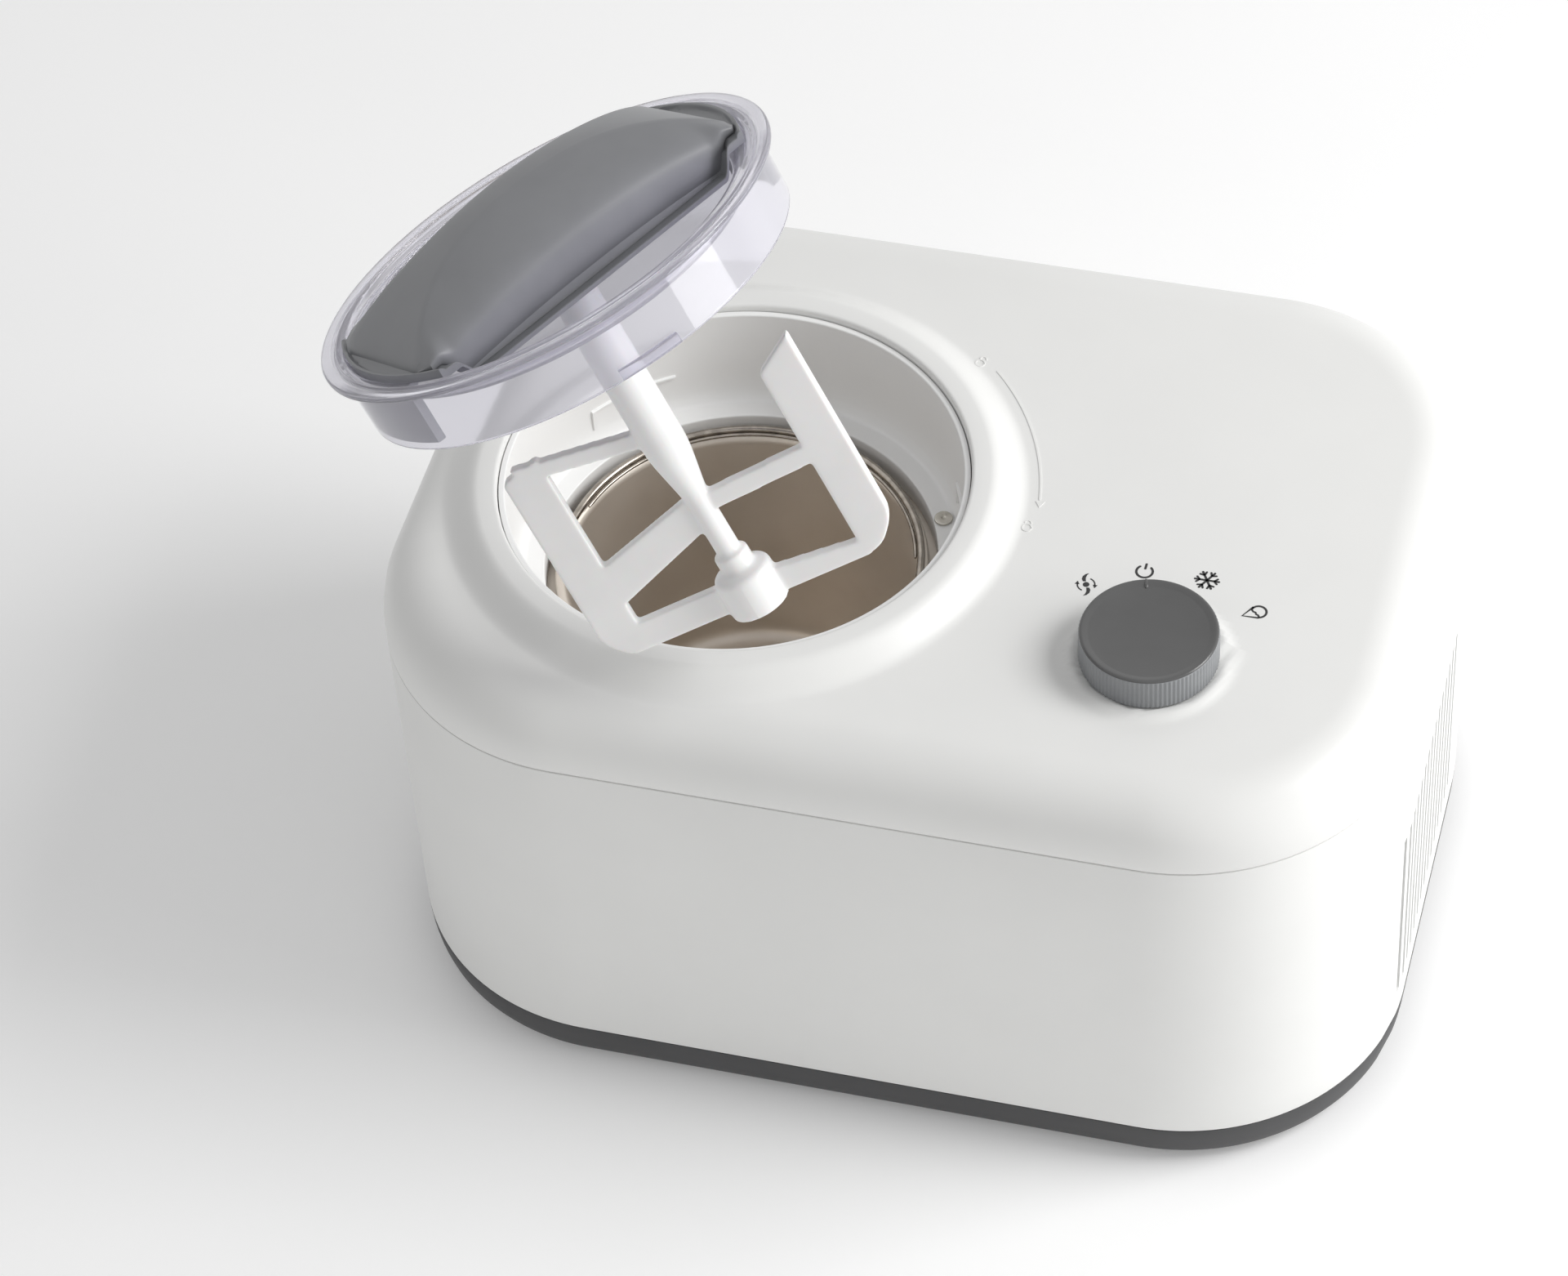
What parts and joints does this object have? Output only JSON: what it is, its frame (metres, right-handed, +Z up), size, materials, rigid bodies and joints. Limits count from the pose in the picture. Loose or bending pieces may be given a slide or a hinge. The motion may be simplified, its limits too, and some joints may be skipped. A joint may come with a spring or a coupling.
{
  "type": "ice cream maker",
  "caption": "Compressor ice cream maker: rounded white cabinet with dial, round well with a lift-out bowl, and a clear lid with grey handle and paddle raised over it.",
  "frame": {"origin": "centre of the flat underside of the base pan", "axes": "+X to the right as the user faces it, +Y to the back, +Z up"},
  "size_m": [0.42, 0.3316, 0.4557],
  "materials": {
    "pan_paint": "satin powder coat",
    "foot_rubber": "matte",
    "shell_abs": "satin moulded",
    "steel": "brushed",
    "wire": "polished",
    "aluminium": "satin anodised",
    "copper": "drawn",
    "foam": "foamed",
    "seal_rubber": "matte",
    "acetal": "moulded",
    "black_plastic": "moulded",
    "black_enamel": "gloss enamel",
    "board": "solder mask",
    "knob_grey": "gloss moulded",
    "clear_plastic": "clear polished",
    "handle_grey": "fine matte grain",
    "paddle_plastic": "satin moulded"
  },
  "bodies": {
    "base": {"base_pan": "pan_paint", "foot_front_left": "foot_rubber", "foot_front_right": "foot_rubber", "foot_rear_left": "foot_rubber", "foot_rear_right": "foot_rubber", "base_screw_front_left": "steel", "base_screw_front_right": "steel", "base_screw_rear_left": "steel", "base_screw_rear_right": "steel", "body_shell": "shell_abs", "cord_gland": "foot_rubber", "top_cover": "shell_abs", "collar_liner": "shell_abs", "lid_sensor": "steel", "cooling_well": "aluminium", "evaporator_coil": "copper", "insulation_jacket": "foam", "shaft_seal": "seal_rubber", "idler_pin": "steel", "gearbox_housing": "black_plastic", "gearbox_cover": "black_plastic", "spindle_bushing": "copper", "motor_can": "steel", "compressor": "black_enamel", "compressor_plate": "pan_paint", "compressor_grommet_front": "foot_rubber", "compressor_grommet_left": "foot_rubber", "compressor_grommet_right": "foot_rubber", "condenser": "aluminium", "fan_shroud": "black_plastic", "discharge_tube": "copper", "suction_tube": "copper", "filter_drier": "copper", "run_capacitor": "aluminium", "control_board": "board", "rotary_switch": "black_plastic"},
    "bowl_unit": {"bowl": "aluminium", "bowl_bracket_left": "steel", "bowl_bracket_right": "steel"},
    "bail": {"bowl_handle": "wire"},
    "lid_swivel": {"lid_bush": "acetal"},
    "lid": {"lid_cover": "clear_plastic", "lid_handle": "handle_grey", "lid_tab_left": "handle_grey", "lid_tab_right": "handle_grey", "lid_magnet": "steel"},
    "mixer": {"paddle": "paddle_plastic"},
    "selector": {"knob": "knob_grey", "switch_shaft": "steel"},
    "drive_shaft": {"drive_spindle": "steel", "drive_gear": "acetal"},
    "idler": {"idler_gear": "acetal"},
    "motor_rotor": {"motor_pinion": "steel"},
    "fan": {"fan_rotor": "black_plastic"}
  },
  "joints": [
    {"name": "bowl_lift", "type": "slide", "parent": "base", "child": "bowl_unit", "axis": [0, 0, 1], "range_m": [0, 0.14]},
    {"name": "bail_fold", "type": "hinge", "parent": "bowl_unit", "child": "bail", "pos_m": [-0.077, -0.014, 0.171], "axis": [1, 0, 0], "range_deg": [0, 180]},
    {"name": "lid_tilt", "type": "hinge", "parent": "bowl_unit", "child": "lid_swivel", "pos_m": [-0.1198, -0.0834, 0.405], "axis": [-0.3233, -0.9463, 0], "range_deg": [-30.5, 20]},
    {"name": "lid_turn", "type": "hinge", "parent": "lid_swivel", "child": "lid", "pos_m": [-0.1198, -0.0834, 0.405], "axis": [-0.4803, 0.1641, 0.8616], "range_deg": [-25, 0]},
    {"name": "paddle_spin", "type": "hinge", "parent": "lid_swivel", "child": "mixer", "pos_m": [-0.1198, -0.0834, 0.405], "axis": [-0.4803, 0.1641, 0.8616], "continuous": true},
    {"name": "dial_turn", "type": "hinge", "parent": "base", "child": "selector", "pos_m": [0.105, -0.069, 0.221], "axis": [0, 0, -1], "range_deg": [-31, 62]},
    {"name": "drive_spin", "type": "hinge", "parent": "base", "child": "drive_shaft", "pos_m": [-0.077, -0.014, 0.019], "axis": [0, 0, 1], "continuous": true},
    {"name": "idler_spin", "type": "hinge", "parent": "base", "child": "idler", "pos_m": [0.00614, -0.062, 0.014], "axis": [0, 0, 1], "continuous": true},
    {"name": "motor_spin", "type": "hinge", "parent": "base", "child": "motor_rotor", "pos_m": [0.0633, -0.095, 0.014], "axis": [0, 0, 1], "continuous": true},
    {"name": "fan_spin", "type": "hinge", "parent": "base", "child": "fan", "pos_m": [0.169, -0.014, 0.082], "axis": [1, 0, 0], "continuous": true}
  ],
  "couplings": [
    {"joint": "idler_spin", "follows": "drive_spin", "ratio": -0.88235},
    {"joint": "motor_spin", "follows": "drive_spin", "ratio": 3}
  ]
}
